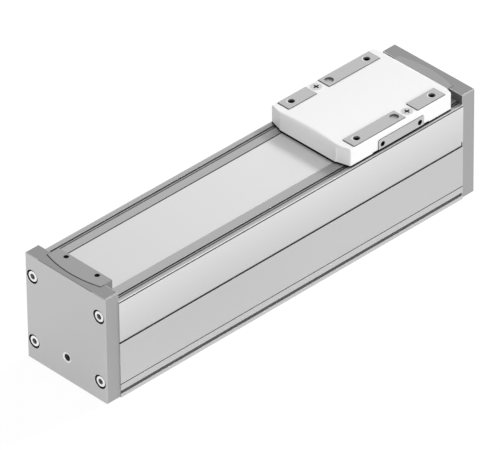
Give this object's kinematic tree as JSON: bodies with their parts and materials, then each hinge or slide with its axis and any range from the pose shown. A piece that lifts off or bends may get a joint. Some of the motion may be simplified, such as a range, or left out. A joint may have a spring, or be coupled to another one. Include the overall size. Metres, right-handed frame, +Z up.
{
  "type": "linear guide axis",
  "caption": "Guide axis without a drive: a carriage runs on a ball rail inside an extruded profile closed by a steel cover strip, between end caps.",
  "frame": {"origin": "bottom centre of the axis with its carriage, on the surface that it stands on, midway between the end caps", "axes": "+X along the axis towards the end where the carriage rests, +Y across it, +Z up through the carriage's mounting face"},
  "size_m": [0.3608, 0.0816, 0.0971],
  "materials": {
    "anodised_aluminium": "satin anodised",
    "cap_aluminium": "satin anodised",
    "body_aluminium": "satin anodised",
    "strip_steel": "fine brushed stainless",
    "white_plastic": "smooth moulded",
    "zinc_steel": "zinc plated",
    "dark_steel": "black oxide",
    "rail_steel": "ground",
    "magnet": "matt",
    "black_plastic": "matt moulded",
    "green_plastic": "matt moulded",
    "seal_rubber": "matt",
    "felt": "felt",
    "brass": "turned",
    "buffer_rubber": "matt"
  },
  "bodies": {
    "axis": {"profile_barrel": "anodised_aluminium", "end_cap_front": "cap_aluminium", "end_cap_rear": "cap_aluminium", "cap_screws_front": "zinc_steel", "cap_screws_rear": "zinc_steel", "port_plug_front": "zinc_steel", "port_plug_rear": "zinc_steel", "strip_clamp_front": "cap_aluminium", "strip_clamp_rear": "cap_aluminium", "clamp_screws_front": "dark_steel", "clamp_screws_rear": "dark_steel", "cover_strip": "strip_steel", "magnet_strips": "magnet", "guide_rail": "rail_steel", "rail_screws": "dark_steel", "rail_plugs": "black_plastic", "buffers_front": "buffer_rubber", "buffers_rear": "buffer_rubber"},
    "carriage": {"carriage_body": "body_aluminium", "carriage_cover": "white_plastic", "cover_screws": "zinc_steel", "strip_loop": "strip_steel", "strip_slider": "black_plastic", "strip_presser_front": "black_plastic", "strip_presser_rear": "black_plastic", "strip_wiper_front": "felt", "strip_wiper_rear": "felt", "bearing_block_front": "rail_steel", "bearing_block_rear": "rail_steel", "return_caps": "green_plastic", "block_seals": "seal_rubber", "grease_nipples": "brass", "block_screws": "dark_steel"}
  },
  "joints": [
    {"name": "carriage_slide", "type": "slide", "parent": "axis", "child": "carriage", "axis": [1, 0, 0], "range_m": [-0.2136, 0], "deforming": ["cover_strip"]}
  ]
}
